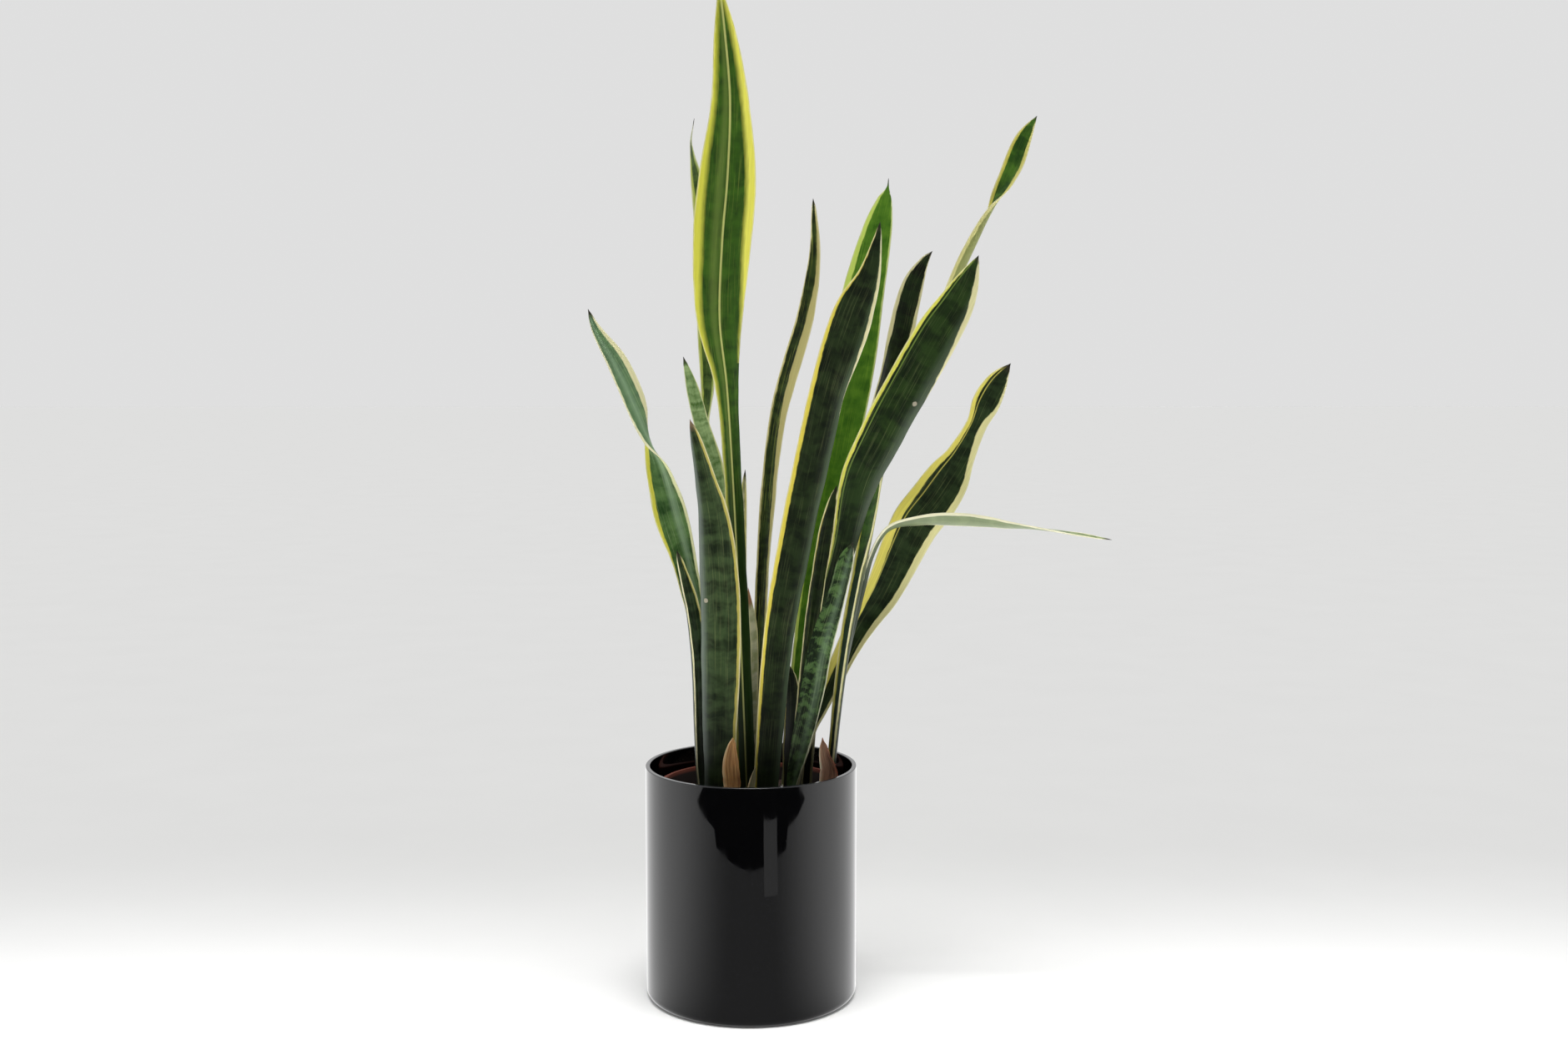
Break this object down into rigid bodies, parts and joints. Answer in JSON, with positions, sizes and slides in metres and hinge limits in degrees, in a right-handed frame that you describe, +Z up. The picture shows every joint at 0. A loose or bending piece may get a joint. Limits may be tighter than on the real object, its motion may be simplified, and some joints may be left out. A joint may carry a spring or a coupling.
{
  "type": "potted snake plant in cover pot",
  "caption": "Straight black glazed cylinder cover pot with a loose plastic nursery pot inside, planted with an upright variegated snake plant.",
  "frame": {"origin": "middle of the cover pot's flat underside, on its axis", "axes": "+Z up along the pot's axis; -Y is the side that the plant is looked at from, and +X is to that viewer's right"},
  "size_m": [0.5868, 0.2414, 1.1161],
  "materials": {
    "black_glaze": "gloss",
    "terracotta_plastic": "satin",
    "potting_mix": "matte",
    "rhizome_buff": "satin",
    "leaf_green": "satin",
    "leaf_bright": "satin",
    "leaf_marbled": "satin",
    "dry_sheath": "matte"
  },
  "bodies": {
    "cover_pot": {"cachepot": "black_glaze"},
    "inner_pot": {"nursery_pot": "terracotta_plastic"},
    "root_ball": {"potting_soil": "potting_mix", "rhizome_left": "rhizome_buff", "rhizome_middle": "rhizome_buff", "rhizome_front": "rhizome_buff", "rhizome_back": "rhizome_buff", "rhizome_right": "rhizome_buff", "leaf_tall": "leaf_bright", "leaf_slim_left": "leaf_green", "leaf_marbled_left": "leaf_marbled", "leaf_front_left": "leaf_green", "leaf_twisted_left": "leaf_green", "leaf_channelled_left": "leaf_green", "leaf_sliver": "leaf_green", "leaf_folded_middle": "leaf_green", "leaf_brown_tipped": "leaf_marbled", "leaf_front_broad": "leaf_green", "leaf_bright_back": "leaf_bright", "leaf_right_broad": "leaf_green", "leaf_inner_channel": "leaf_green", "leaf_banded_right": "leaf_marbled", "leaf_short_dark": "leaf_green", "leaf_bent_over": "leaf_marbled", "leaf_right_golden": "leaf_green", "leaf_far_right": "leaf_bright", "leaf_dark_back": "leaf_green", "dry_sheath_front": "dry_sheath", "dry_sheath_small": "dry_sheath", "dry_sheath_right": "dry_sheath"}
  },
  "joints": [
    {"name": "nursery_pot_lift", "type": "slide", "parent": "cover_pot", "child": "inner_pot", "axis": [0, 0, 1], "range_m": [0, 0.27]},
    {"name": "root_ball_lift", "type": "slide", "parent": "inner_pot", "child": "root_ball", "axis": [0, 0, 1], "range_m": [0, 0.24]}
  ]
}
